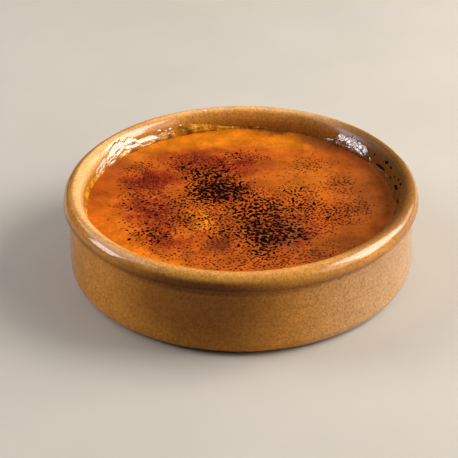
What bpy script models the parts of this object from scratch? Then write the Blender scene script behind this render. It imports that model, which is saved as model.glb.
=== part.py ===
"""A crema catalana in the shallow stoneware dish that it is set, burnt and served in.

Run it with: blender --background --python part.py
Metres, +Z up. The origin is the middle of the dish's foot, on the table. The dish is turned, with
a rolled rim. The custard fills it to a little under the rim, and its caramel crust carries the
flecks of burnt sugar as low relief.
"""

import math
import random

import bpy
from mathutils import Matrix, Vector

# The dish: outside.
DISH_HEIGHT = 0.0330
RIM_RADIUS = 0.0650  # the rolled rim at its widest
RIM_WIDEST_HEIGHT = 0.0282
CREST_RADIUS = 0.0610  # the top of the rolled rim
NECK_RADIUS = 0.0625  # the crease under the rolled rim
NECK_HEIGHT = 0.0268
WALL_TOP_RADIUS = 0.0629
WALL_TOP_HEIGHT = 0.0256
HEEL_RADIUS = 0.0635  # the wall where the heel begins to turn in
HEEL_ROUNDING = 0.0047
FOOT_OUTER_RADIUS = HEEL_RADIUS - HEEL_ROUNDING
FOOT_INNER_RADIUS = 0.0460
FOOT_DEPTH = 0.0010
FOOT_SLOPE = 0.0008

# The dish: inside.
INNER_RADIUS = 0.0570
SHOULDER_HEIGHT = 0.0250  # where the rim's inner slope meets the upright wall
FLOOR_HEIGHT = 0.0050
FLOOR_ROUNDING = 0.0080

DISH_STEPS = 68
GLAZE_COLOUR = (0.50, 0.24, 0.06)
GLAZE_ROUGHNESS = 0.18

# The custard with its crust.
GAP = 0.0003
CREMA_RADIUS = INNER_RADIUS - GAP
CRUST_HEIGHT = 0.0248
EDGE_RISE = 0.0003  # the crust climbs a little where it meets the wall
EDGE_WIDTH = 0.0022
CREMA_STEPS = 60
CRUST_RINGS = 7
SWELL = 0.00018  # how far the crust waves up and down
# Each slow wave of the crust: turns a metre along x and y in radians, phase, share of the swell.
CRUST_WAVES = ((95, 40, 0.6, 1.0), (-60, 130, 2.1, 0.7))
CRUST_COLOUR = (0.62, 0.20, 0.02)
CRUST_ROUGHNESS = 0.12

# The flecks of burnt sugar.
FLECK_SEED = 26
FLECKS = 190
FLECK_SIDES = 6
FLECK_RADIUS = (0.00052, 0.00105)  # from the smallest to the largest
FLECK_STRETCH = (1.0, 1.75)
FLECK_RISE = (0.00028, 0.00050)
FLECK_SUNK = 0.0006
FLECK_TOP = 0.62  # its top's width as a share of its foot's
FLECK_UNEVEN = 0.18  # how far each corner strays, as a share of its distance
FLECK_SPACING = 0.9  # the least distance between two flecks, as a share of their radii
FLECK_TRIES = 40
FLECK_LIMIT = CREMA_RADIUS - EDGE_WIDTH - 0.0035
# Where the flame lingered: middle x and y, half length, half width, turn in degrees, share.
BURNT_PATCHES = (
    (-0.0080, 0.0110, 0.0085, 0.0060, -35, 24),
    (-0.0040, 0.0040, 0.0070, 0.0040, -20, 8),
    (0.0130, -0.0220, 0.0090, 0.0065, 15, 26),
    (0.0240, -0.0205, 0.0060, 0.0045, 10, 9),
    (0.0090, -0.0330, 0.0040, 0.0055, 0, 7),
    (0.0020, -0.0110, 0.0070, 0.0065, -50, 14),
    (0.0150, -0.0060, 0.0110, 0.0060, -15, 15),
    (-0.0190, -0.0050, 0.0080, 0.0050, 10, 12),
    (-0.0290, -0.0230, 0.0075, 0.0065, -35, 11),
    (-0.0330, 0.0180, 0.0080, 0.0060, 20, 8),
    (-0.0160, 0.0300, 0.0080, 0.0050, -30, 10),
    (0.0030, 0.0340, 0.0070, 0.0070, 0, 7),
    (-0.0350, -0.0060, 0.0060, 0.0080, 0, 7),
    (0.0390, -0.0070, 0.0070, 0.0050, 20, 5),
    (0.0300, -0.0130, 0.0080, 0.0060, 0, 4),
    (0.0370, 0.0130, 0.0050, 0.0060, 0, 3),
    (0.0260, 0.0280, 0.0080, 0.0080, 0, 3),
    (0.0020, -0.0380, 0.0120, 0.0050, 0, 5),
)


def clear_scene():
    for item in list(bpy.data.objects):
        bpy.data.objects.remove(item, do_unlink=True)


def new_material(name, colour, roughness):
    material = bpy.data.materials.new(name)
    material.use_nodes = True
    shader = material.node_tree.nodes["Principled BSDF"]
    shader.inputs["Base Color"].default_value = (*colour, 1.0)
    shader.inputs["Roughness"].default_value = roughness
    shader.inputs["Metallic"].default_value = 0.0
    return material


def arc(centre, radii, start, end, steps):
    """Points of an elliptical arc, from one angle to another in degrees, both ends included."""
    points = []
    for step in range(steps + 1):
        angle = math.radians(start + (end - start) * step / steps)
        points.append((centre[0] + radii[0] * math.cos(angle), centre[1] + radii[1] * math.sin(angle)))
    return points


def turned(name, profile, steps, collection):
    """A mesh turned round the Z axis from (radius, height) points that run down its outer side."""
    mesh = bpy.data.meshes.new(name)
    points = [(radius, 0.0, height) for radius, height in profile]
    mesh.from_pydata(points, [(i, i + 1) for i in range(len(points) - 1)], [])
    item = bpy.data.objects.new(name, mesh)
    collection.objects.link(item)
    screw = item.modifiers.new("Turn", "SCREW")
    screw.steps = steps
    screw.render_steps = steps
    screw.use_merge_vertices = True
    screw.merge_threshold = 0.00001
    screw.use_smooth_shade = True
    return item


def apply_modifiers(item):
    """Replaces the object's mesh by its evaluated one, so that its points can be moved."""
    graph = bpy.context.evaluated_depsgraph_get()
    mesh = bpy.data.meshes.new_from_object(item.evaluated_get(graph))
    item.modifiers.clear()
    item.data = mesh


def dish_profile():
    """From the middle of the floor inside, up the wall, over the rim and down to the foot."""
    floor = arc(
        (INNER_RADIUS - FLOOR_ROUNDING, FLOOR_HEIGHT + FLOOR_ROUNDING),
        (FLOOR_ROUNDING, FLOOR_ROUNDING),
        -90,
        0,
        4,
    )
    inner_slope = arc(
        (CREST_RADIUS, SHOULDER_HEIGHT),
        (CREST_RADIUS - INNER_RADIUS, DISH_HEIGHT - SHOULDER_HEIGHT),
        180,
        90,
        6,
    )
    rim = arc(
        (CREST_RADIUS, RIM_WIDEST_HEIGHT),
        (RIM_RADIUS - CREST_RADIUS, DISH_HEIGHT - RIM_WIDEST_HEIGHT),
        90,
        0,
        6,
    )
    under_rim = arc(
        (NECK_RADIUS, RIM_WIDEST_HEIGHT),
        (RIM_RADIUS - NECK_RADIUS, RIM_WIDEST_HEIGHT - NECK_HEIGHT),
        0,
        -90,
        4,
    )
    heel = arc(
        (FOOT_OUTER_RADIUS, HEEL_ROUNDING),
        (HEEL_ROUNDING, HEEL_ROUNDING),
        0,
        -90,
        5,
    )
    foot = [
        (FOOT_INNER_RADIUS, 0.0),
        (FOOT_INNER_RADIUS - FOOT_SLOPE, FOOT_DEPTH),
        (0.0, FOOT_DEPTH),
    ]
    return (
        [(0.0, FLOOR_HEIGHT)]
        + floor
        + inner_slope
        + rim[1:]
        + under_rim[1:]
        + [(WALL_TOP_RADIUS, WALL_TOP_HEIGHT)]
        + heel
        + foot
    )


def make_dish(collection):
    dish = turned("dish", dish_profile(), DISH_STEPS, collection)
    dish.data.materials.append(new_material("honey_glaze", GLAZE_COLOUR, GLAZE_ROUGHNESS))


def crust_height(x, y):
    """The crust's level at a place: nearly flat, with a slow wave and a low rise at the wall."""
    wave = sum(share * math.sin(a * x + b * y + phase) for a, b, phase, share in CRUST_WAVES)
    climb = max(0.0, 1 - (CREMA_RADIUS - math.hypot(x, y)) / EDGE_WIDTH)
    return CRUST_HEIGHT + SWELL * wave * (1 - climb) + EDGE_RISE * climb**2


def crema_profile():
    """From the middle of the crust out to the wall, and down the side to the middle of the base."""
    flat_radius = CREMA_RADIUS - EDGE_WIDTH
    crust = [(flat_radius * ring / CRUST_RINGS, CRUST_HEIGHT) for ring in range(CRUST_RINGS + 1)]
    edge = [(CREMA_RADIUS, CRUST_HEIGHT + EDGE_RISE)]
    base = arc(
        (CREMA_RADIUS - FLOOR_ROUNDING, FLOOR_HEIGHT + GAP + FLOOR_ROUNDING),
        (FLOOR_ROUNDING, FLOOR_ROUNDING),
        0,
        -90,
        4,
    )
    return crust + edge + base + [(0.0, FLOOR_HEIGHT + GAP)]


def place_flecks():
    """(x, y, radius, stretch, turn, rise) of each fleck, the largest first, by a seeded draw."""
    draw = random.Random(FLECK_SEED)
    shares = [patch[5] for patch in BURNT_PATCHES]
    placed = []
    for number in range(FLECKS):
        size = (1 - number / FLECKS) ** 1.3
        radius = FLECK_RADIUS[0] + (FLECK_RADIUS[1] - FLECK_RADIUS[0]) * size
        for _ in range(FLECK_TRIES):
            x, y, length, width, turn, _ = draw.choices(BURNT_PATCHES, shares)[0]
            along = draw.gauss(0, length)
            across = draw.gauss(0, width)
            angle = math.radians(turn)
            x += along * math.cos(angle) - across * math.sin(angle)
            y += along * math.sin(angle) + across * math.cos(angle)
            crowded = any(
                math.hypot(x - other[0], y - other[1]) < FLECK_SPACING * (radius + other[2])
                for other in placed
            )
            if math.hypot(x, y) < FLECK_LIMIT and not crowded:
                break
        else:
            continue
        stretch = draw.uniform(*FLECK_STRETCH)
        rise = FLECK_RISE[0] + (FLECK_RISE[1] - FLECK_RISE[0]) * size
        placed.append((x, y, radius, stretch, draw.uniform(0, math.pi), rise))
    return placed


def make_fleck(number, place, collection):
    """One low chip of burnt sugar, sunk a little way into the crust."""
    x, y, radius, stretch, turn, rise = place
    bpy.ops.mesh.primitive_cone_add(
        vertices=FLECK_SIDES,
        radius1=radius,
        radius2=radius * FLECK_TOP,
        depth=rise + FLECK_SUNK,
    )
    fleck = bpy.context.active_object
    fleck.name = f"fleck_{number}"
    draw = random.Random(FLECK_SEED + number)
    shape = Matrix.Rotation(turn, 4, "Z") @ Matrix.Diagonal((stretch, 1 / stretch**0.4, 1, 1))
    middle = Vector((x, y, crust_height(x, y) + (rise - FLECK_SUNK) / 2))
    for vertex in fleck.data.vertices:
        vertex.co = shape @ vertex.co
        vertex.co.x *= 1 + draw.uniform(-FLECK_UNEVEN, FLECK_UNEVEN)
        vertex.co.y *= 1 + draw.uniform(-FLECK_UNEVEN, FLECK_UNEVEN)
        vertex.co += middle
    for owner in list(fleck.users_collection):
        owner.objects.unlink(fleck)
    collection.objects.link(fleck)


def make_crema(collection):
    crema = turned("crema", crema_profile(), CREMA_STEPS, collection)
    apply_modifiers(crema)
    crust_floor = CRUST_HEIGHT - GAP
    for vertex in crema.data.vertices:
        if vertex.co.z > crust_floor:
            vertex.co.z = crust_height(vertex.co.x, vertex.co.y)
    crema.data.materials.append(new_material("caramel_crust", CRUST_COLOUR, CRUST_ROUGHNESS))

    flecks = bpy.data.collections.new("flecks")
    bpy.context.scene.collection.children.link(flecks)
    for number, place in enumerate(place_flecks()):
        make_fleck(number, place, flecks)
    union = crema.modifiers.new("Flecks", "BOOLEAN")
    union.operation = "UNION"
    union.operand_type = "COLLECTION"
    union.collection = flecks
    union.solver = "MANIFOLD"
    apply_modifiers(crema)
    for fleck in list(flecks.objects):
        bpy.data.objects.remove(fleck, do_unlink=True)
    bpy.data.collections.remove(flecks)


clear_scene()
parts = bpy.data.collections.new("crema_catalana")
bpy.context.scene.collection.children.link(parts)
make_dish(parts)
make_crema(parts)
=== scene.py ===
import math
import random

import bpy
from mathutils import Matrix, Vector, noise


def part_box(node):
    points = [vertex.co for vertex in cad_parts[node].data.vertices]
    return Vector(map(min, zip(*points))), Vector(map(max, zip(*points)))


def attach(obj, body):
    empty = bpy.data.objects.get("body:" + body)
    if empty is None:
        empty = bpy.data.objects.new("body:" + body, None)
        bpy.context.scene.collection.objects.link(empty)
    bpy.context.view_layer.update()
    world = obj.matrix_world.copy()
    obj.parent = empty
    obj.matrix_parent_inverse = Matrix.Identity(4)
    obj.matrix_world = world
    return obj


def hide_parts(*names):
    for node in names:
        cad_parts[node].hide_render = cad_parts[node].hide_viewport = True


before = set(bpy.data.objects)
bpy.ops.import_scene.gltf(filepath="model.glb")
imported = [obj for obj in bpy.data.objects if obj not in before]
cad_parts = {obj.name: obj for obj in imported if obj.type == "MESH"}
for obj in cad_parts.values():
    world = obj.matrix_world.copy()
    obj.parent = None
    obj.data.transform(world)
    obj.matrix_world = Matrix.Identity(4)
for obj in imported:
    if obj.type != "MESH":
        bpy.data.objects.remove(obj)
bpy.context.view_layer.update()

# The dish
# A low cazuela of honey-glazed stoneware, thrown on a wheel: a rolled rim, an almost upright wall
# with faint throwing rings, and a rounded heel over a bare clay foot ring. It is dipped in one
# iron-speckled glaze, darker down the inside, with painted shade in the crease under the rim and
# at the front, and painted sheen lighter on the crest at the left and back and on the wall at the
# right.

MM = 0.001
dish_low, dish_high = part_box("dish")
rim_radius = dish_high.x
dish_height = dish_high.z
rim_widest_height = 28.2 * MM
crest_radius = 61.0 * MM
throat_centre = 62.5 * MM
throat_turn = 62
throat_rounding = 1.0 * MM
wall_top_radius = 62.95 * MM
wall_top_height = 26.0 * MM
neck_ring_height = 24.4 * MM
neck_ring_proud = 0.16 * MM
neck_ring_width = 0.5 * MM
heel_radius = 63.5 * MM
heel_rounding = 4.7 * MM
foot_outer_radius = heel_radius - heel_rounding - 0.2 * MM
foot_inner_radius = 46.0 * MM
foot_depth = 1.0 * MM
foot_slope = 0.8 * MM
foot_chamfer = 0.5 * MM
inner_radius = 57.0 * MM
shoulder_height = 25.0 * MM
floor_height = 5.0 * MM
floor_rounding = 8.0 * MM
dish_sides = 256
wall_rings = 40
wobble_strength = 0.35 * MM
wobble_size = 35 * MM


def arc(centre, radii, start, end, steps):
    """(radius, height) points of an elliptical arc, from one angle to another in degrees."""
    points = []
    for step in range(steps + 1):
        angle = math.radians(start + (end - start) * step / steps)
        radius = centre[0] + radii[0] * math.cos(angle)
        points.append((radius, centre[1] + radii[1] * math.sin(angle)))
    return points


def throwing_ring(height):
    """How far the potter's fingers left the wall proud at this height."""
    return (0.04 * math.sin(height / MM * 2.1) + 0.02 * math.sin(height / MM * 5.3 + 1.0)) * MM


def outer_wall():
    """Up the outside from the heel to the neck, with the low ring that was left under the rim."""
    points = []
    low, high = heel_rounding + 0.3 * MM, wall_top_height - 0.2 * MM
    for ring in range(wall_rings + 1):
        share = ring / wall_rings
        radius = heel_radius + (wall_top_radius - heel_radius) * share
        height = low + (high - low) * share
        off_neck = (height - neck_ring_height) / neck_ring_width
        neck_ring = neck_ring_proud * math.exp(-(off_neck**2))
        points.append((radius + throwing_ring(height) + neck_ring, height))
    return points


def dish_outline():
    """From the recess under the foot, up the outside, over the rim and down to the floor."""
    foot = [
        (foot_inner_radius - foot_slope, foot_depth),
        (foot_inner_radius, 0.0),
        (foot_outer_radius, 0.0),
        (heel_radius - heel_rounding + foot_chamfer, foot_chamfer / 2),
    ]
    heel = arc(
        (heel_radius - heel_rounding, heel_rounding),
        (heel_rounding, heel_rounding),
        -78,
        0,
        12,
    )
    throat_radii = (rim_radius - throat_centre, 1.4 * MM)
    under_rim = arc((throat_centre, rim_widest_height), throat_radii, -throat_turn, 0, 8)
    throat = arc(
        (wall_top_radius + throat_rounding, wall_top_height),
        (throat_rounding, throat_rounding),
        180,
        107,
        6,
    )
    rim = arc(
        (crest_radius, rim_widest_height),
        (rim_radius - crest_radius, dish_height - rim_widest_height),
        0,
        90,
        16,
    )
    slope = arc(
        (crest_radius, shoulder_height),
        (crest_radius - inner_radius, dish_height - shoulder_height),
        90,
        180,
        20,
    )
    slope = [(radius + 0.5 * throwing_ring(height), height) for radius, height in slope]
    floor = arc(
        (inner_radius - floor_rounding, floor_height + floor_rounding),
        (floor_rounding, floor_rounding),
        0,
        -90,
        6,
    )
    return foot + heel + outer_wall() + throat + under_rim + rim[1:] + slope[1:] + floor


def turned(name, outline, sides):
    """A disc drawn up through (radius, height) rings, closed at both ends."""
    bpy.ops.object.select_all(action="DESELECT")
    radius, height = outline[0]
    bpy.ops.mesh.primitive_circle_add(
        vertices=sides, radius=radius, fill_type="NGON", location=(0, 0, height)
    )
    piece = bpy.context.active_object
    piece.name = name
    bpy.ops.object.transform_apply(location=True, rotation=True, scale=True)
    bpy.ops.object.mode_set(mode="EDIT")
    bpy.ops.mesh.select_all(action="SELECT")
    for next_radius, next_height in outline[1:]:
        bpy.ops.mesh.extrude_region_move(
            TRANSFORM_OT_translate={"value": (0, 0, next_height - height)}
        )
        growth = next_radius / radius
        bpy.ops.transform.resize(value=(growth, growth, 1), center_override=(0, 0, next_height))
        radius, height = next_radius, next_height
    bpy.ops.mesh.select_all(action="SELECT")
    bpy.ops.mesh.normals_make_consistent(inside=False)
    bpy.ops.object.mode_set(mode="OBJECT")
    bpy.ops.object.shade_smooth()
    return piece


dish = turned("glazed_dish", dish_outline(), dish_sides)
hand_wobble = bpy.data.textures.new("hand_wobble", "CLOUDS")
hand_wobble.noise_scale = wobble_size
wobble = dish.modifiers.new("Wobble", "DISPLACE")
wobble.texture = hand_wobble
wobble.texture_coords = "LOCAL"
wobble.strength = wobble_strength
bpy.ops.object.modifier_apply(modifier="Wobble")


class Finish:
    """A material under construction: its node tree, and short calls that add and join nodes."""

    def __init__(self, name):
        self.material = bpy.data.materials.new(name)
        self.material.use_nodes = True
        self.tree = self.material.node_tree
        self.shader = self.tree.nodes["Principled BSDF"]
        self.place = self.add("ShaderNodeTexCoord").outputs["Object"]

    def add(self, kind, **settings):
        node = self.tree.nodes.new(kind)
        for key, value in settings.items():
            setattr(node, key, value)
        return node

    def feed(self, socket, value):
        if isinstance(value, bpy.types.NodeSocket):
            self.tree.links.new(value, socket)
        elif isinstance(value, tuple) and len(value) == 3 and socket.type == "RGBA":
            socket.default_value = (*value, 1.0)
        else:
            socket.default_value = value

    def math(self, operation, first, second=0.0, clamp=False):
        node = self.add("ShaderNodeMath", operation=operation, use_clamp=clamp)
        self.feed(node.inputs[0], first)
        self.feed(node.inputs[1], second)
        return node.outputs[0]

    def product(self, first, *others):
        """All the values multiplied together."""
        for other in others:
            first = self.math("MULTIPLY", first, other)
        return first

    def vector(self, operation, first, second=(0.0, 0.0, 0.0), output=0):
        node = self.add("ShaderNodeVectorMath", operation=operation)
        self.feed(node.inputs[0], first)
        if operation != "LENGTH":
            self.feed(node.inputs[1], second)
        return node.outputs[output]

    def grain(self, scale, detail=3.0, roughness=0.55, at=None):
        """Noise with features of about 1/scale metres."""
        node = self.add("ShaderNodeTexNoise")
        self.feed(node.inputs["Vector"], at or self.place)
        node.inputs["Scale"].default_value = scale
        node.inputs["Detail"].default_value = detail
        node.inputs["Roughness"].default_value = roughness
        return node.outputs["Fac"]

    def cells(self, scale, feature="F1", at=None):
        """Distances in a pattern of cells of about 1/scale metres."""
        node = self.add("ShaderNodeTexVoronoi", feature=feature)
        self.feed(node.inputs["Vector"], at or self.place)
        node.inputs["Scale"].default_value = scale
        return node.outputs["Distance"]

    def span(self, value, low, high, to_low=0.0, to_high=1.0):
        """A smooth step from to_low to to_high as value goes from low to high."""
        node = self.add("ShaderNodeMapRange", interpolation_type="SMOOTHSTEP")
        self.feed(node.inputs["Value"], value)
        node.inputs["From Min"].default_value = low
        node.inputs["From Max"].default_value = high
        node.inputs["To Min"].default_value = to_low
        node.inputs["To Max"].default_value = to_high
        return node.outputs["Result"]

    def step(self, length, low, high, to_low=0.0, to_high=1.0):
        """The same smooth step for a length, its low and high in mm."""
        return self.span(length, low * MM, high * MM, to_low, to_high)

    def ramp(self, value, stops):
        node = self.add("ShaderNodeValToRGB")
        self.feed(node.inputs["Fac"], value)
        elements = node.color_ramp.elements
        while len(elements) < len(stops):
            elements.new(0.5)
        for element, (position, colour) in zip(elements, stops):
            element.position = position
            element.color = (*colour, 1.0)
        return node.outputs["Color"]

    def mix(self, factor, first, second, blend="MIX"):
        node = self.add("ShaderNodeMix", data_type="RGBA", blend_type=blend)
        self.feed(node.inputs[0], factor)
        self.feed(node.inputs[6], first)
        self.feed(node.inputs[7], second)
        return node.outputs[2]

    def shade(self, factor, colour, tint):
        """The colour multiplied by the tint, as far as the factor says."""
        return self.mix(factor, colour, tint, "MULTIPLY")

    def bump(self, height, distance, strength=1.0, normal=None):
        node = self.add("ShaderNodeBump")
        node.inputs["Strength"].default_value = strength
        node.inputs["Distance"].default_value = distance
        self.feed(node.inputs["Height"], height)
        if normal:
            self.feed(node.inputs["Normal"], normal)
        return node.outputs["Normal"]

    def parts(self):
        """The place's x, y and z, and its distance from the dish's axis."""
        split = self.add("ShaderNodeSeparateXYZ")
        self.feed(split.inputs[0], self.place)
        flat = self.vector("MULTIPLY", self.place, (1.0, 1.0, 0.0))
        return (*split.outputs, self.vector("LENGTH", flat, output=1))


# Stops of the glaze's colour by its share of the dish's height. Outside, the dark band from 0.790
# to 0.880 is painted shade in the crease under the rim.
glaze_outside = (
    (0.000, (0.62, 0.46, 0.30)),
    (0.022, (0.60, 0.38, 0.20)),
    (0.040, (0.60, 0.245, 0.036)),
    (0.740, (0.60, 0.245, 0.038)),
    (0.790, (0.42, 0.158, 0.021)),
    (0.835, (0.29, 0.104, 0.013)),
    (0.880, (0.41, 0.162, 0.024)),
    (0.950, (0.61, 0.262, 0.048)),
    (1.000, (0.63, 0.275, 0.056)),
)
glaze_inside = (
    (0.700, (0.26, 0.095, 0.012)),
    (0.860, (0.42, 0.160, 0.022)),
    (0.950, (0.58, 0.235, 0.040)),
    (1.000, (0.63, 0.275, 0.056)),
)
# The colour of the painted sheen on the crest at the left and back.
painted_sheen_colour = (0.86, 0.50, 0.20)
# The colour of the painted reflection on the lower wall at the right.
painted_reflection_colour = (0.57, 0.315, 0.135)
iron_spot = (0.09, 0.035, 0.008)
# Middle and reach of the painted shade that darkens the front of the wall.
painted_shade_middle = (-15 * MM, -64 * MM, 20 * MM)
painted_shade_reach = (38 * MM, 40 * MM, 26 * MM)


def painted_front_shade(glaze):
    """How far a place lies in the painted shade at the front, from 0 to 1."""
    patch = glaze.add("ShaderNodeMapping", vector_type="TEXTURE", label="painted_front_shade")
    glaze.feed(patch.inputs["Vector"], glaze.place)
    patch.inputs["Location"].default_value = painted_shade_middle
    patch.inputs["Scale"].default_value = painted_shade_reach
    ball = glaze.add("ShaderNodeTexGradient", gradient_type="SPHERICAL")
    glaze.feed(ball.inputs["Vector"], patch.outputs["Vector"])
    return glaze.span(ball.outputs["Fac"], 0.0, 0.70)


def honey_glaze():
    glaze = Finish("honey_glaze")
    x, y, z, radius = glaze.parts()
    height = glaze.math("DIVIDE", z, dish_height)
    within = glaze.step(radius, 60.8, 60.2)
    colour = glaze.mix(within, glaze.ramp(height, glaze_outside), glaze.ramp(height, glaze_inside))

    # Painted reflection: the lower wall at the right paler.
    painted_reflection_right = glaze.product(glaze.step(x, 10, 54), glaze.step(z, 27, 24), 0.9)
    colour = glaze.mix(painted_reflection_right, colour, painted_reflection_colour)
    # Darker and duller on the right-hand lip and inner wall, and at the back right.
    back_right = glaze.product(glaze.step(x, 10, 32), glaze.step(y, 20, 36), 0.4)
    right_side = glaze.math("MAXIMUM", glaze.step(x, 22, 50), back_right)
    dark_right_lip = glaze.product(right_side, glaze.step(radius, 64.8, 60.4))
    colour = glaze.shade(dark_right_lip, colour, (0.34, 0.315, 0.27))
    right_crest = glaze.product(glaze.step(x, 44, 60), glaze.step(z, 27.5, 30))
    colour = glaze.shade(right_crest, colour, (0.62, 0.60, 0.57))
    # Painted sheen: the crest at the left and the top of the back crest lighter and yellower.
    crown = glaze.product(glaze.step(z, 28, 31.5), glaze.step(radius, 62, 60.6))
    painted_sheen_left = glaze.product(glaze.step(x, -36, -54), crown)
    painted_sheen_back = glaze.product(glaze.step(y, 44, 58), glaze.step(z, 31.8, 32.8), 0.6)
    painted_sheen = glaze.math("MAXIMUM", painted_sheen_left, painted_sheen_back)
    colour = glaze.mix(glaze.product(painted_sheen, 0.75), colour, painted_sheen_colour)
    left_side = glaze.product(glaze.step(x, -50, -60), glaze.step(radius, 62, 63.6))
    colour = glaze.shade(left_side, colour, (0.76, 0.74, 0.66))
    back_left = glaze.product(glaze.step(x, -14, -44), glaze.step(y, -16, 8))
    back_left = glaze.product(back_left, glaze.step(radius, 60.8, 62.2))
    colour = glaze.shade(back_left, colour, (0.68, 0.62, 0.52))
    # Painted shade: the front of the wall, and the lower side of the bead above it, darker.
    front_shade = painted_front_shade(glaze)
    under_crest = glaze.product(glaze.step(z, 31.4, 29.6), glaze.step(z, 26.6, 28))
    colour = glaze.shade(glaze.product(front_shade, under_crest), colour, (0.63, 0.59, 0.50))
    front_shade = glaze.product(front_shade, glaze.step(z, 31.9, 29.9))
    colour = glaze.shade(front_shade, colour, (0.52, 0.46, 0.37))

    mottle = glaze.span(glaze.grain(150, 3.0, 0.5), 0.32, 0.70, 0.93, 1.05)
    speckle = glaze.span(glaze.grain(1100, 3.0, 0.7), 0.36, 0.62, 0.78, 1.12)
    fine = glaze.span(glaze.grain(2600, 2.0, 0.6), 0.35, 0.65, 0.88, 1.10)
    colour = glaze.shade(1.0, colour, glaze.product(mottle, speckle, fine))
    iron = glaze.span(glaze.cells(420), 0.16, 0.08)
    colour = glaze.mix(glaze.product(iron, 0.55), colour, iron_spot)
    glaze.feed(glaze.shader.inputs["Base Color"], colour)

    clay = glaze.step(z, 1.0, 0.5)
    rough = glaze.span(glaze.grain(240, 2.0), 0.3, 0.7, 0.09, 0.15)
    rough = glaze.math("ADD", rough, glaze.product(clay, 0.5), clamp=True)
    rough = glaze.math("ADD", rough, glaze.product(dark_right_lip, 0.16), clamp=True)
    glaze.feed(glaze.shader.inputs["Roughness"], rough)
    glaze.shader.inputs["IOR"].default_value = 1.50
    sheen = glaze.math("MAXIMUM", glaze.step(z, 28.8, 30.4), glaze.step(x, 10, 45))
    sheen = glaze.product(sheen, glaze.span(dark_right_lip, 0.2, 1.0, 1.0, 0.25))
    sheen = glaze.product(sheen, glaze.span(back_left, 0.0, 1.0, 1.0, 0.55))
    sheen = glaze.span(sheen, 0.0, 1.0, 0.12, 0.50)
    glaze.feed(glaze.shader.inputs["Specular IOR Level"], sheen)
    skin = glaze.bump(glaze.grain(330, 2.0), 0.05 * MM, 0.5)
    skin = glaze.bump(glaze.grain(1300, 2.0), 0.02 * MM, 0.35, skin)
    glaze.feed(glaze.shader.inputs["Normal"], skin)
    return glaze.material


dish.data.materials.append(honey_glaze())
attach(dish, "root")
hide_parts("dish")

# The crema and its crust
# Custard poured hot into the dish and left to set, then sugared and burnt: a glassy amber sheet
# over the whole top, redder and browner where the flame lingered, with painted shade along the
# back wall and over its right side. It climbs a little at the wall and reaches just into it.

crema_gap = 0.3 * MM
crema_bite = 0.15 * MM
crema_radius = inner_radius + crema_bite
crust_height = 24.8 * MM
edge_rise = 1.0 * MM
edge_width = 3.8 * MM
swell = 0.18 * MM
crust_waves = ((95, 40, 0.6, 1.0), (-60, 130, 2.1, 0.7))
crema_sides = 240
crust_rings = 70


def crust_level(x, y):
    """The crust's height at a place: nearly flat, with a slow wave and a rise at the wall."""
    wave = sum(share * math.sin(a * x + b * y + phase) for a, b, phase, share in crust_waves)
    climb = max(0.0, 1 - (crema_radius - math.hypot(x, y)) / edge_width)
    return crust_height + swell * wave * (1 - climb) + edge_rise * climb**2


def crema_outline():
    """From the middle of the base, up the side, and in over the crust to its middle."""
    base = arc(
        (inner_radius - crema_gap - floor_rounding, floor_height + crema_gap + floor_rounding),
        (floor_rounding, floor_rounding),
        -90,
        0,
        6,
    )
    side = [(crema_radius, 20 * MM), (crema_radius, crust_height + edge_rise)]
    least = 0.4 * MM
    crust = []
    for ring in range(1, crust_rings + 1):
        crust.append((crema_radius + (least - crema_radius) * ring / crust_rings, crust_height))
    return base + side + crust


crema = turned("set_crema", crema_outline(), crema_sides)
crust_floor = crust_height - 0.1 * MM
for vertex in crema.data.vertices:
    if vertex.co.z > crust_floor:
        vertex.co.z = crust_level(vertex.co.x, vertex.co.y)

# Tints of the crust: name, middle x and y, half length and half width in mm, turn in degrees,
# strength, colour.
amber = (0.41, 0.081, 0.008)
crust_tints = (
    ("bright_left", -45, -20, 14, 30, 12, 0.76, (0.72, 0.165, 0.007)),
    ("bright_front", -30, -40, 22, 11, -35, 0.75, (0.74, 0.175, 0.007)),
    ("back_band", -12, 50, 42, 11, 0, 0.80, (0.64, 0.185, 0.006)),
    ("back_left", -34, 42, 20, 10, 40, 0.76, (0.68, 0.195, 0.006)),
    ("red_top", -9, 29, 27, 14, -6, 0.85, (0.30, 0.044, 0.012)),
    ("plum_patch", -33, 17, 15, 10, 20, 0.92, (0.21, 0.018, 0.010)),
    ("red_left", -32, -6, 15, 18, 0, 0.78, (0.31, 0.045, 0.012)),
    ("red_low_left", -27, -24, 14, 12, -30, 0.55, (0.34, 0.050, 0.008)),
    ("dark_heart", -7, 10, 15, 11, -20, 0.90, (0.19, 0.040, 0.015)),
    ("dark_low", 13, -22, 20, 17, 10, 0.86, (0.23, 0.066, 0.018)),
    ("dark_low_right", 17, -28, 10, 9, 0, 0.55, (0.17, 0.054, 0.018)),
    ("smudge", -9, -28, 5, 8, -20, 0.86, (0.13, 0.024, 0.008)),
    ("window", -14, -13, 6, 12, 20, 0.75, (0.66, 0.200, 0.008)),
    ("window_low", -21, -22, 8, 6, 0, 0.60, (0.62, 0.170, 0.008)),
    ("window_high", -20, 3, 10, 6, 20, 0.25, (0.62, 0.170, 0.008)),
    ("orange_right", 24, 18, 24, 24, 0, 0.70, (0.43, 0.114, 0.009)),
    ("yellow_back", 19, 46, 15, 9, -20, 0.55, (0.68, 0.200, 0.007)),
    # Painted shade along the foot of the back wall.
    ("brown_back", 14, 57, 18, 5, -12, 0.80, (0.12, 0.036, 0.008)),
    ("brown_back_right", 31, 46, 12, 7, -35, 0.70, (0.17, 0.052, 0.009)),
    # These three rows are painted shade: the right wall's shadow on the crust, darkest at its
    # edge, and at the front right.
    ("painted_shade_right", 48, 2, 16, 36, 0, 0.70, (0.24, 0.068, 0.012)),
    ("painted_shade_edge", 61, 0, 10, 40, 0, 0.54, (0.07, 0.022, 0.009)),
    ("painted_shade_front", 36, -30, 26, 16, 35, 0.85, (0.22, 0.055, 0.008)),
)
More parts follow.
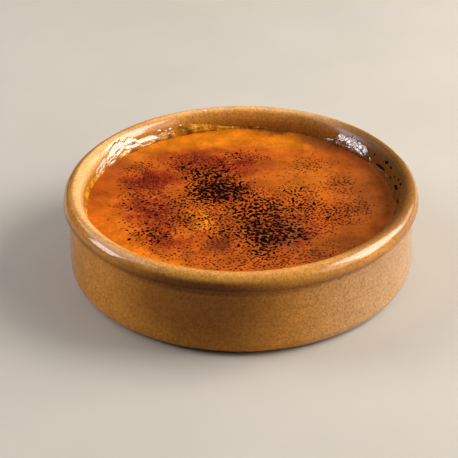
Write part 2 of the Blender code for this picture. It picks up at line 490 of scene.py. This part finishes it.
burnt_tints = ("red_top", "plum_patch", "red_left", "red_low_left", "dark_heart", "dark_low")
bubble_size = 2.3 * MM
bubble_tint = (0.42, 0.24, 0.40)
deep_red = (0.34, 0.034, 0.008)
warm_amber = (0.60, 0.150, 0.006)


def caramel_crust():
    crust = Finish("caramel_crust")
    wander = crust.add("ShaderNodeTexNoise")
    crust.feed(wander.inputs["Vector"], crust.place)
    wander.inputs["Scale"].default_value = 85
    wander.inputs["Detail"].default_value = 3
    wander.inputs["Roughness"].default_value = 0.6
    stray = crust.vector("SUBTRACT", wander.outputs["Color"], (0.5, 0.5, 0.5))
    stray = crust.vector("MULTIPLY", stray, (0.016, 0.016, 0.0))
    strayed = crust.vector("ADD", crust.place, stray)
    colour = amber
    burnt = 0.0
    for name, x, y, half_length, half_width, turn, strength, tint in crust_tints:
        spot = crust.add("ShaderNodeMapping", vector_type="TEXTURE", label=name)
        crust.feed(spot.inputs["Vector"], strayed)
        spot.inputs["Location"].default_value = (x * MM, y * MM, crust_height)
        spot.inputs["Rotation"].default_value = (0, 0, math.radians(turn))
        spot.inputs["Scale"].default_value = (half_length * MM, half_width * MM, 1.0)
        ball = crust.add("ShaderNodeTexGradient", gradient_type="SPHERICAL")
        crust.feed(ball.inputs["Vector"], spot.outputs["Vector"])
        soft = crust.span(ball.outputs["Fac"], 0.0, 0.8, 0.0, strength)
        colour = crust.mix(soft, colour, tint)
        if name in burnt_tints:
            burnt = crust.math("MAXIMUM", burnt, crust.span(ball.outputs["Fac"], 0.0, 0.55))
    blotch = crust.span(crust.grain(290, 3.0, 0.6), 0.46, 0.62)
    colour = crust.mix(crust.product(blotch, burnt, 0.75), colour, deep_red)
    warm = crust.span(crust.grain(210, 2.0, 0.5, at=strayed), 0.56, 0.66)
    colour = crust.mix(crust.product(warm, burnt, 0.45), colour, warm_amber)
    net = crust.span(crust.cells(1 / bubble_size, "DISTANCE_TO_EDGE", at=strayed), 0.30, 0.02)
    net = crust.product(net, crust.span(crust.grain(160, 2.0), 0.36, 0.58))
    colour = crust.shade(crust.product(net, crust.product(burnt, 0.65)), colour, bubble_tint)
    cloud = crust.span(crust.grain(120, 5.0, 0.6), 0.34, 0.66, 0.76, 1.16)
    grit = crust.span(crust.grain(900, 3.0, 0.6), 0.36, 0.64, 0.90, 1.08)
    colour = crust.shade(1.0, colour, crust.product(cloud, grit))
    crust.feed(crust.shader.inputs["Base Color"], colour)
    rough = crust.span(crust.grain(300), 0.3, 0.7, 0.14, 0.28)
    crust.feed(crust.shader.inputs["Roughness"], rough)
    crust.shader.inputs["IOR"].default_value = 1.45
    crust.shader.inputs["Specular IOR Level"].default_value = 0.05
    skin = crust.bump(crust.grain(190, 3.0), 0.25 * MM, 0.35)
    skin = crust.bump(crust.grain(900, 3.0), 0.06 * MM, 0.5, skin)
    crust.feed(crust.shader.inputs["Normal"], skin)
    return crust.material


crema.data.materials.append(caramel_crust())
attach(crema, "root")
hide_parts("crema")

# The burnt flecks
# Bubbles of sugar that the flame turned to char: thin black chips, half sunk in the crust, which
# crowd where the flame lingered and follow the edges of the bubbles there. Round them lie finer
# ones, only singed, and still red-brown.

fleck_limit = 51 * MM
fleck_tries = 40
fleck_square = 2.4 * MM
# What is drawn between two ends: the factor on a gap, the stretch, and how far from a bubble's
# edge a fleck may lie, in bubbles.
fleck_gaps = (0.82, 1.30)
fleck_stretches = (1.0, 1.55)
fleck_edges = (0.05, 0.7)
# Middle x and y, half length and half width in mm, turn in degrees, share of the black flecks
# and of the singed ones.
burnt_patches = (
    (-11, 9, 4.1, 4.1, 10, 52, 9),
    (-6, 8, 3.5, 3.5, -30, 44, 7),
    (-5, 14, 3.4, 2.8, 0, 8, 6),
    (4, 4, 4.5, 4.5, 0, 1, 7),
    (-12, 20, 4.2, 2.8, 0, 11, 14),
    (-22, 0, 5.0, 2.6, 15, 3, 8),
    (-20, -13, 3.4, 3.0, 0, 3, 8),
    (-11, -2, 5.0, 3.2, 0, 1, 9),
    (2, -4, 4.2, 5.0, 0, 12, 10),
    (7, -10, 5.0, 4.5, 10, 13, 10),
    (14, -3, 5.0, 4.0, 0, 6, 12),
    (24, -4, 5.5, 3.6, -10, 3, 12),
    (15, -14, 4.5, 4.5, 0, 3, 10),
    (8, -26, 3.8, 4.0, 0, 27, 9),
    (7, -20, 4.0, 3.0, 0, 12, 6),
    (16, -22, 4.2, 3.4, -5, 11, 10),
    (27, -20, 3.4, 3.0, 0, 1, 9),
    (8, -35, 3.0, 3.0, 0, 5, 6),
    (-26, -8, 6.0, 4.0, 0, 2, 16),
    (-31, -22, 5.0, 3.6, -35, 4, 10),
    (-35, 1, 4.5, 5.5, 0, 1, 16),
    (-35, 14, 5.0, 4.5, 20, 0, 12),
    (-39, 27, 4.0, 3.0, 40, 0, 6),
    (-20, 28, 4.0, 3.4, -15, 2, 16),
    (-9, 28, 5.0, 3.4, 0, 2, 11),
    (0, 33, 4.6, 3.0, 0, 1, 10),
    (33, -10, 6.0, 4.0, 0, 2, 22),
    (40, -5, 4.5, 3.2, 10, 0, 10),
    (37, 12, 4.0, 5.0, 0, 0, 7),
    (26, 27, 4.5, 4.5, 0, 0, 6),
    (22, -37, 8.0, 4.0, 10, 0, 14),
    (5, -43, 12.0, 3.0, 0, 0, 10),
    (-8, -26, 5.5, 8.0, 0, 0, 16),
    (-9, -12, 4.5, 5.0, 0, 2, 14),
    (-6, -21, 4.0, 3.0, 0, 3, 10),
    (21, 7, 4.0, 3.0, 0, 1, 8),
    (-22, -36, 6.5, 3.5, -20, 0, 5),
    (0, -6, 25.0, 20.0, 0, 0, 15),
)


def bubble_edge(x, y):
    """How far a place is from the nearest bubble's edge, in bubbles, and how that edge runs."""
    distances, centres = noise.voronoi(Vector((x / bubble_size, y / bubble_size, 0.0)))
    across = centres[1] - centres[0]
    return distances[1] - distances[0], math.atan2(across.y, across.x) + math.pi / 2


def place_flecks(count, kind, largest, falloff, power, room, taken, seed):
    """(x, y, radius, stretch, turn) of each fleck of a kind, about the largest first.

    They are drawn by a seed, keep about room times their two radii apart, from those already
    taken as well, and are smaller towards the edge of a patch and where few lie.
    """
    draw = random.Random(seed)
    shares = [patch[kind] for patch in burnt_patches]
    near = {}
    for x, y, radius, _, _ in taken:
        near.setdefault((x // fleck_square, y // fleck_square), []).append((x, y, radius))
    placed = []
    for number in range(count):
        gap = room * draw.uniform(*fleck_gaps)
        for _ in range(fleck_tries):
            patch = draw.choices(burnt_patches, shares)[0]
            x, y, length, width, turn = patch[:5]
            along, across = draw.gauss(0, length), draw.gauss(0, width)
            fading = max(0.55, 1.08 - 0.16 * math.hypot(along / length, across / width))
            radius = largest * (1 + number / falloff) ** -power * fading
            radius *= min(1.0, 0.72 + 0.025 * patch[kind])
            angle = math.radians(turn)
            x = (x + along * math.cos(angle) - across * math.sin(angle)) * MM
            y = (y + along * math.sin(angle) + across * math.cos(angle)) * MM
            edge, direction = bubble_edge(x, y)
            if math.hypot(x, y) > fleck_limit or edge > draw.uniform(*fleck_edges):
                continue
            column, row = x // fleck_square, y // fleck_square
            others = [
                other
                for step_x in (-1, 0, 1)
                for step_y in (-1, 0, 1)
                for other in near.get((column + step_x, row + step_y), ())
            ]
            if all(math.hypot(x - a, y - b) > gap * (radius + other) for a, b, other in others):
                break
        else:
            continue
        direction += draw.gauss(0, 0.35)
        near.setdefault((column, row), []).append((x, y, radius))
        placed.append((x, y, radius, draw.uniform(*fleck_stretches), direction))
    return placed


chip_foot = 0.85
chip_sunk = 0.5
# Lift and growth of each layer over the chip's foot.
chip_layers = ((0.5, 1.18), (0.22, 0.82), (0.12, 0.45))


def chip_shapes(count, sides, seed):
    """A few uneven low chips of unit radius, modelled one by one from discs."""
    draw = random.Random(seed)
    chips = []
    for _ in range(count):
        bpy.ops.object.select_all(action="DESELECT")
        bpy.ops.mesh.primitive_circle_add(
            vertices=sides, radius=chip_foot, fill_type="NGON", location=(0, 0, -chip_sunk)
        )
        chip = bpy.context.active_object
        bpy.ops.object.transform_apply(location=True, rotation=True, scale=True)
        bpy.ops.object.mode_set(mode="EDIT")
        bpy.ops.mesh.select_all(action="SELECT")
        for lift, growth in chip_layers:
            bpy.ops.mesh.extrude_region_move(TRANSFORM_OT_translate={"value": (0, 0, lift)})
            bpy.ops.transform.resize(value=(growth, growth, 1), center_override=(0, 0, 0))
        bpy.ops.mesh.select_all(action="SELECT")
        bpy.ops.mesh.normals_make_consistent(inside=False)
        bpy.ops.object.mode_set(mode="OBJECT")
        bends = [draw.uniform(0.72, 1.28) for _ in range(sides)]
        for vertex in chip.data.vertices:
            turn = math.atan2(vertex.co.y, vertex.co.x) % (2 * math.pi)
            side = int(round(turn / (2 * math.pi) * sides)) % sides
            vertex.co.x *= bends[side]
            vertex.co.y *= bends[side]
        chips.append(chip)
    return chips


def joined(name, pieces):
    """The pieces as one object of this name."""
    bpy.ops.object.select_all(action="DESELECT")
    for piece in pieces:
        piece.select_set(True)
    bpy.context.view_layer.objects.active = pieces[0]
    bpy.ops.object.join()
    piece = bpy.context.active_object
    piece.name = name
    return piece


def scattered(name, shapes, places, height_of, thickness_of, seed):
    """One joined piece of copies of the shapes, each with its own mesh, laid at its place."""
    draw = random.Random(seed)
    copies = []
    for x, y, radius, stretch, direction in places:
        shape = draw.choice(shapes)
        copy = bpy.data.objects.new(name, shape.data.copy())
        bpy.context.scene.collection.objects.link(copy)
        size = (radius * stretch, radius / stretch**0.5, thickness_of(radius), 1)
        lean = Matrix.Rotation(draw.gauss(0, 0.05), 4, "X")
        lean = lean @ Matrix.Rotation(draw.gauss(0, 0.05), 4, "Y")
        spot = Matrix.Translation((x, y, height_of(x, y)))
        turn = Matrix.Rotation(direction, 4, "Z")
        copy.data.transform(spot @ lean @ turn @ Matrix.Diagonal(size))
        copies.append(copy)
    for shape in shapes:
        bpy.data.objects.remove(shape, do_unlink=True)
    piece = joined(name, copies)
    bpy.ops.object.shade_smooth()
    return piece


def burnt_sugar(name, tones, roughness):
    """Char or singed sugar, its tones from the deepest to the lightest."""
    burnt = Finish(name)
    stops = list(zip((0.30, 0.55, 0.78), tones))
    burnt.feed(burnt.shader.inputs["Base Color"], burnt.ramp(burnt.grain(500, 2.0), stops))
    rough = burnt.span(burnt.grain(900), 0.3, 0.7, *roughness)
    burnt.feed(burnt.shader.inputs["Roughness"], rough)
    burnt.shader.inputs["Specular IOR Level"].default_value = 0.0
    skin = burnt.bump(burnt.grain(2400, 2.0), 0.06 * MM, 0.6)
    burnt.feed(burnt.shader.inputs["Normal"], skin)
    return burnt.material


black_places = place_flecks(
    count=1060,
    kind=5,
    largest=1.27 * MM,
    falloff=190,
    power=0.42,
    room=0.80,
    taken=[],
    seed=26,
)
black_flecks = scattered(
    "burnt_flecks",
    chip_shapes(count=7, sides=7, seed=3),
    black_places,
    crust_level,
    lambda radius: 0.10 * MM + 0.34 * radius,
    seed=5,
)
singed_places = place_flecks(
    count=1950,
    kind=6,
    largest=0.74 * MM,
    falloff=600,
    power=0.42,
    room=0.90,
    taken=black_places,
    seed=27,
)
singed_flecks = scattered(
    "singed_flecks",
    chip_shapes(count=5, sides=6, seed=4),
    singed_places,
    crust_level,
    lambda radius: 0.05 * MM + 0.20 * radius,
    seed=6,
)
char = burnt_sugar(
    "char",
    ((0.004, 0.002, 0.001), (0.010, 0.003, 0.002), (0.030, 0.006, 0.003)),
    (0.35, 0.60),
)
singed = burnt_sugar(
    "singed_sugar",
    ((0.040, 0.007, 0.004), (0.10, 0.016, 0.006), (0.20, 0.032, 0.008)),
    (0.30, 0.50),
)
for flecks, finish in ((black_flecks, char), (singed_flecks, singed)):
    flecks.data.materials.clear()
    flecks.data.materials.append(finish)
    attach(flecks, "root")

# The caramel at the wall
# Where the sugar boiled up it climbed the wall and set there: a low, lumpy fillet of clear amber
# between crust and glaze, highest at the back on both sides, thin elsewhere.

film_turns = 256
film_sides = 22
film_shown = film_sides - 4
# Middle azimuth and half width in degrees, how far it climbs and how far it runs in, in mm.
film_swells = (
    (144, 16, 5.2, 0.2),
    (174, 14, 1.8, 0.0),
    (112, 14, 3.3, 0.2),
    (84, 10, 0.6, 0.2),
    (41, 10, 5.8, 0.2),
    (8, 16, 1.6, 0.1),
)
# The least climb and run, and the ends of the climb, in mm.
film_least = (1.2, 0.12)
film_climbs = (0.3, 7.2)
film_spread = 1.5
film_foot = 0.12 * MM
film_sunk = 0.8 * MM
film_bite = 0.10 * MM
film_back_bite = 0.45 * MM
film_sheet = 0.30 * MM
film_belly = 0.16
film_lump_height = 1.0 * MM
film_lump_climb = 2.4 * MM


def film_reach(azimuth):
    """(climb, run) of the caramel at an azimuth in degrees, in metres, with its ragged edges."""
    climb, run = film_least
    for middle, half_width, more_climb, more_run in film_swells:
        off = abs((azimuth - middle + 180) % 360 - 180) / (half_width * film_spread)
        if off < 1:
            share = math.cos(off * math.pi / 2) ** 1.5
            climb += more_climb * share
            run += more_run * share
    turn = math.radians(azimuth)
    spot = Vector((math.cos(turn), math.sin(turn), 0.0))
    climb *= 1 + 0.28 * noise.noise(spot * 14) + 0.22 * noise.noise(spot * 38)
    below = Vector((0, 0, 5))
    run *= 1 + 0.22 * noise.noise(spot * 17 + below) + 0.22 * noise.noise(spot * 52)
    low, high = film_climbs
    return min(high, max(low, climb)) * MM, max(0.1, run) * MM


def film_lump(along, up):
    """How proud the boiled sugar stands, from -1 to 1, in lumps that lie along the wall."""
    long_lump = noise.noise(Vector((along * 0.30, up * 0.9, 0.0)))
    short_lump = noise.noise(Vector((along * 0.9, up * 1.6, 7.0)))
    bead = noise.noise(Vector((along * 2.3, up * 2.6, 13.0)))
    return 0.36 * long_lump + 0.36 * short_lump + 0.24 * bead


def slope_radius(height):
    """The dish's inner radius at a height over the shoulder."""
    if height <= shoulder_height:
        return inner_radius
    share = min(1.0, (height - shoulder_height) / (dish_height - shoulder_height))
    return crest_radius - (crest_radius - inner_radius) * math.sqrt(1 - share**2)


def film_section(side, azimuth):
    """(radius, height) of a point of the fillet: its face from the foot up, then its back."""
    climb, run = film_reach(azimuth)
    if side <= film_shown:
        share = (side / film_shown) ** 1.15
        height = crust_height - film_foot + (climb + film_foot) * share
        along = math.radians(azimuth) * inner_radius / MM
        proud = film_lump_height * film_lump(along, share * (climb + run) / MM)
        proud *= min(1.0, climb / film_lump_climb)
        proud *= (1 - share**4) * (1 - 0.6 * (1 - share) ** 6)
        sheet = film_sheet * (1 - share**3) + run * (1 - share) ** 1.25
        sheet += film_belly * climb * min(share / 0.3, (1 - share) / 0.7)
        return slope_radius(height) + film_bite - sheet - max(proud, -0.8 * sheet), height
    share = (side - film_shown) / (film_sides - film_shown)
    height = crust_height + climb - share * (climb + film_sunk)
    if side == film_sides - 1:
        return inner_radius - run, height
    return slope_radius(height) + film_back_bite, height


bpy.ops.object.select_all(action="DESELECT")
bpy.ops.mesh.primitive_torus_add(
    major_segments=film_turns,
    minor_segments=film_sides,
    major_radius=inner_radius,
    minor_radius=1 * MM,
)
film = bpy.context.active_object
film.name = "caramel_edge"
for index, vertex in enumerate(film.data.vertices):
    azimuth = math.degrees(math.atan2(vertex.co.y, vertex.co.x)) % 360
    radius, height = film_section(index % film_sides, azimuth)
    turn = math.radians(azimuth)
    vertex.co = (radius * math.cos(turn), radius * math.sin(turn), height)
bpy.ops.object.mode_set(mode="EDIT")
bpy.ops.mesh.select_all(action="SELECT")
bpy.ops.mesh.normals_make_consistent(inside=False)
bpy.ops.object.mode_set(mode="OBJECT")
bpy.ops.object.shade_smooth()


amber_tones = (
    (0.32, (0.16, 0.050, 0.006)),
    (0.48, (0.44, 0.160, 0.008)),
    (0.68, (0.66, 0.300, 0.020)),
)
brown_tones = (
    (0.30, (0.07, 0.026, 0.008)),
    (0.50, (0.17, 0.062, 0.013)),
    (0.75, (0.27, 0.105, 0.022)),
)


def set_caramel():
    """Clear amber on the left and brown on the right, wet and crumpled at the back."""
    caramel = Finish("set_caramel")
    x, y, z, _ = caramel.parts()
    lumps = caramel.grain(260, 3.0)
    amber_side = caramel.ramp(lumps, amber_tones)
    brown_side = caramel.ramp(lumps, brown_tones)
    colour = caramel.mix(caramel.step(x, -10, 24), amber_side, brown_side)
    caramel.feed(caramel.shader.inputs["Base Color"], colour)
    caramel.shader.inputs["Roughness"].default_value = 0.09
    caramel.shader.inputs["IOR"].default_value = 1.5
    stray = caramel.vector("SUBTRACT", lumps, (0.5, 0.5, 0.5))
    stray = caramel.vector("MULTIPLY", stray, (0.003, 0.003, 0.003))
    strayed = caramel.vector("ADD", caramel.place, stray)
    uneven = caramel.product(caramel.math("SUBTRACT", lumps, 0.5), 4 * MM)
    foot = caramel.math("ADD", z, uneven)
    foot = caramel.math("ADD", foot, caramel.step(x, -24, -38, 0.0, 1.0 * MM))
    wet = caramel.product(caramel.step(y, 10, 24), caramel.step(y, 52, 46, 0.15, 1.0))
    wet = caramel.product(wet, caramel.step(foot, 26.2, 27.2, 0.08, 1.0))
    caramel.feed(caramel.shader.inputs["Coat Weight"], caramel.product(wet, 0.6))
    caramel.feed(caramel.shader.inputs["Specular IOR Level"], wet)
    caramel.shader.inputs["Specular Tint"].default_value = (1.0, 0.88, 0.82, 1.0)
    caramel.shader.inputs["Coat Roughness"].default_value = 0.04
    plates = caramel.span(caramel.cells(480, "DISTANCE_TO_EDGE", at=strayed), 0.0, 0.15)
    plates = caramel.product(plates, caramel.step(x, -20, 20, 0.35, 1.0))
    boiled = caramel.bump(plates, 0.25 * MM, 1.0)
    boiled = caramel.bump(caramel.grain(1100, 3.0), 0.08 * MM, 0.5, boiled)
    caramel.feed(caramel.shader.inputs["Normal"], boiled)
    return caramel.material


film.data.materials.append(set_caramel())
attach(film, "root")

# The burnt drips, the crumb and the painted glints
# Drops of sugar that spat on the right-hand wall and charred there, each a small flattened bead,
# a pale crumb of sugar that never melted on the rim at the back, and pale beads on the wall at the
# back that are painted glints of wet caramel.

drop_half_thickness = 0.28 * MM
# Azimuth in degrees, height, half length and half width in mm, lean from the wall's run in
# degrees.
burnt_drips = (
    (3.5, 28.4, 2.8, 0.82, 16),
    (-7, 28.6, 2.3, 0.80, 22),
    (0.8, 31.4, 1.0, 0.50, 10),
    (4.5, 31.1, 0.8, 0.45, 8),
    (19, 30.5, 1.2, 0.60, 16),
    (14.8, 30.6, 1.0, 0.45, 6),
    (22, 27.2, 4.2, 0.50, 6),
    (12, 28.0, 0.9, 0.35, 10),
    (28, 29.6, 0.6, 0.35, 0),
    (9, 29.8, 0.6, 0.35, 20),
    (-12, 26.9, 1.2, 0.40, 5),
)


def spat_drop(azimuth, height, half_length, half_width, lean):
    """A flattened bead on the dish's inner slope, its long side leaning from the wall's run."""
    turn = math.radians(azimuth)
    radius = slope_radius(height)
    reach = 0.2 * MM
    widening = slope_radius(height + reach) - slope_radius(height - reach)
    out = Vector((-2 * reach, 0.0, widening)).normalized()
    facing = Vector((out.x * math.cos(turn), out.x * math.sin(turn), out.z))
    along = Vector((-math.sin(turn), math.cos(turn), 0.0))
    along.rotate(Matrix.Rotation(math.radians(lean), 3, facing))
    place = Vector((radius * math.cos(turn), radius * math.sin(turn), height))
    bpy.ops.object.select_all(action="DESELECT")
    bpy.ops.mesh.primitive_uv_sphere_add(segments=14, ring_count=8, radius=1.0)
    drop = bpy.context.active_object
    for vertex in drop.data.vertices:
        bulge = 1 + 0.25 * noise.noise(vertex.co * 1.7 + place / MM)
        x, y, z = vertex.co * bulge
        vertex.co = place + along * x * half_length + facing.cross(along) * y * half_width
        vertex.co += facing * z * drop_half_thickness
    bpy.ops.object.shade_smooth()
    return drop


drips = joined(
    "burnt_drips",
    [
        spat_drop(azimuth, height * MM, half_length * MM, half_width * MM, lean)
        for azimuth, height, half_length, half_width, lean in burnt_drips
    ],
)
drips.data.materials.append(char)
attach(drips, "root")

# Azimuth in degrees, height, half length and half width in mm. The first is the crumb on the rim;
# the others are painted glints.
crumb_and_glint_places = (
    (103.5, 32.75, 0.75, 0.45),
    (117, 26.8, 0.60, 0.42),
    (118.8, 28.9, 0.75, 0.42),
    (114.2, 29.2, 0.55, 0.34),
    (120.8, 28.7, 0.55, 0.32),
    (123.5, 29.4, 0.90, 0.34),
    (93, 26.1, 0.34, 0.24),
)
crumbs_and_glints = joined(
    "sugar_crumb_and_glints",
    [
        spat_drop(azimuth, height * MM, half_length * MM, half_width * MM, 0)
        for azimuth, height, half_length, half_width in crumb_and_glint_places
    ],
)
# Pale sugar for the crumb, and for the beads that are painted glints.
crumb_glint_finish = Finish("crumb_and_glint_sugar")
crumb_glint_finish.feed(
    crumb_glint_finish.shader.inputs["Base Color"],
    crumb_glint_finish.ramp(crumb_glint_finish.grain(900), [(0.3, (0.76, 0.58, 0.40)), (0.7, (0.95, 0.86, 0.74))]),
)
crumb_glint_finish.shader.inputs["Roughness"].default_value = 0.4
crumbs_and_glints.data.materials.append(crumb_glint_finish.material)
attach(crumbs_and_glints, "root")

# The table and the light
# A plain pale table top under the foot, with painted shade that darkens it away from the dish, a
# wide soft window light at the right, a smaller and cooler one at the left, weak fill lights
# between and above them, and a dim room round them.

bpy.ops.object.select_all(action="DESELECT")
bpy.ops.mesh.primitive_plane_add(size=6.0, location=(0, 0, 0))
table = bpy.context.active_object
table.name = "table_top"
table_finish = Finish("pale_table")
table_colour = table_finish.ramp(
    table_finish.grain(14, 4.0), [(0.3, (0.47, 0.43, 0.37)), (0.7, (0.51, 0.465, 0.40))]
)
# Painted shade: the table darker away from the dish.
far = table_finish.span(table_finish.parts()[3], 0.27, 0.58, 1.0, 0.38)
table_colour = table_finish.shade(1.0, table_colour, far)
table_finish.feed(table_finish.shader.inputs["Base Color"], table_colour)
table_finish.shader.inputs["Roughness"].default_value = 0.7
table_finish.shader.inputs["Specular IOR Level"].default_value = 0.1
table.data.materials.append(table_finish.material)


def soft_light(name, azimuth, elevation, distance, width, height, radiance, colour):
    """An area light that faces the dish. Azimuth is from +Y towards +X, in degrees."""
    turn, rise = math.radians(azimuth), math.radians(elevation)
    flat = math.cos(rise)
    away = Vector((math.sin(turn) * flat, math.cos(turn) * flat, math.sin(rise)))
    data = bpy.data.lights.new(name, "AREA")
    data.shape = "RECTANGLE"
    data.size = width
    data.size_y = height
    data.energy = radiance * width * height * math.pi
    data.color = colour
    lamp = bpy.data.objects.new(name, data)
    bpy.context.scene.collection.objects.link(lamp)
    lamp.location = away * distance
    lamp.rotation_mode = "QUATERNION"
    lamp.rotation_quaternion = away.to_track_quat("Z", "Y")


# Name, azimuth and elevation in degrees, distance, width and height in metres, radiance, colour.
soft_light("right_window", 84, 36, 0.80, 0.56, 0.56, 10.4, (1.0, 0.97, 0.93))
soft_light("left_window", -88, 25, 0.80, 0.30, 0.30, 9.5, (0.94, 0.93, 1.0))
soft_light("right_fill", 110, 30, 0.90, 0.60, 0.45, 2.4, (1.0, 0.97, 0.94))
soft_light("low_bounce", 60, 15, 0.90, 0.40, 0.24, 3.0, (1.0, 0.98, 0.95))
soft_light("left_fill", -72, 46, 0.90, 0.80, 0.50, 2.2, (0.96, 0.96, 1.0))
soft_light("overhead_fill", 0, 64, 0.90, 0.90, 0.50, 0.7, (1.0, 0.99, 0.97))

world = bpy.data.worlds.new("room")
world.use_nodes = True
world.node_tree.nodes["Background"].inputs["Color"].default_value = (0.92, 0.95, 1.0, 1.0)
world.node_tree.nodes["Background"].inputs["Strength"].default_value = 0.05
bpy.context.scene.world = world
bpy.context.scene.view_settings.view_transform = "Standard"

# The camera
# It stands in front of the dish and looks down on it at 31 degrees with a long lens.

camera_distance = 0.620
camera_elevation = 30.971
camera_aim = 0.015
camera_roll, camera_yaw, camera_pitch = 0.4034, 0.4097, -0.1430
focal_px = 1669.77
image_px = 458
sensor_mm = 36.0

rise = math.radians(camera_elevation)
camera_data = bpy.data.cameras.new("camera")
camera_data.sensor_width = sensor_mm
camera_data.lens = focal_px / image_px * sensor_mm
camera_data.clip_start = 0.01
camera_data.clip_end = 20
camera = bpy.data.objects.new("camera", camera_data)
bpy.context.scene.collection.objects.link(camera)
level_view = Matrix(
    ((1, 0, 0), (0, math.sin(rise), math.cos(rise)), (0, math.cos(rise), -math.sin(rise)))
)
turned_view = (
    Matrix.Rotation(math.radians(camera_roll), 3, "Z")
    @ Matrix.Rotation(math.radians(camera_pitch), 3, "X")
    @ Matrix.Rotation(math.radians(camera_yaw), 3, "Y")
    @ level_view
)
right, up, ahead = turned_view
camera.matrix_world = Matrix.Translation(
    (0, -camera_distance * math.cos(rise), camera_distance * math.sin(rise) + camera_aim)
) @ Matrix((right, up, -ahead)).transposed().to_4x4()
bpy.context.scene.camera = camera
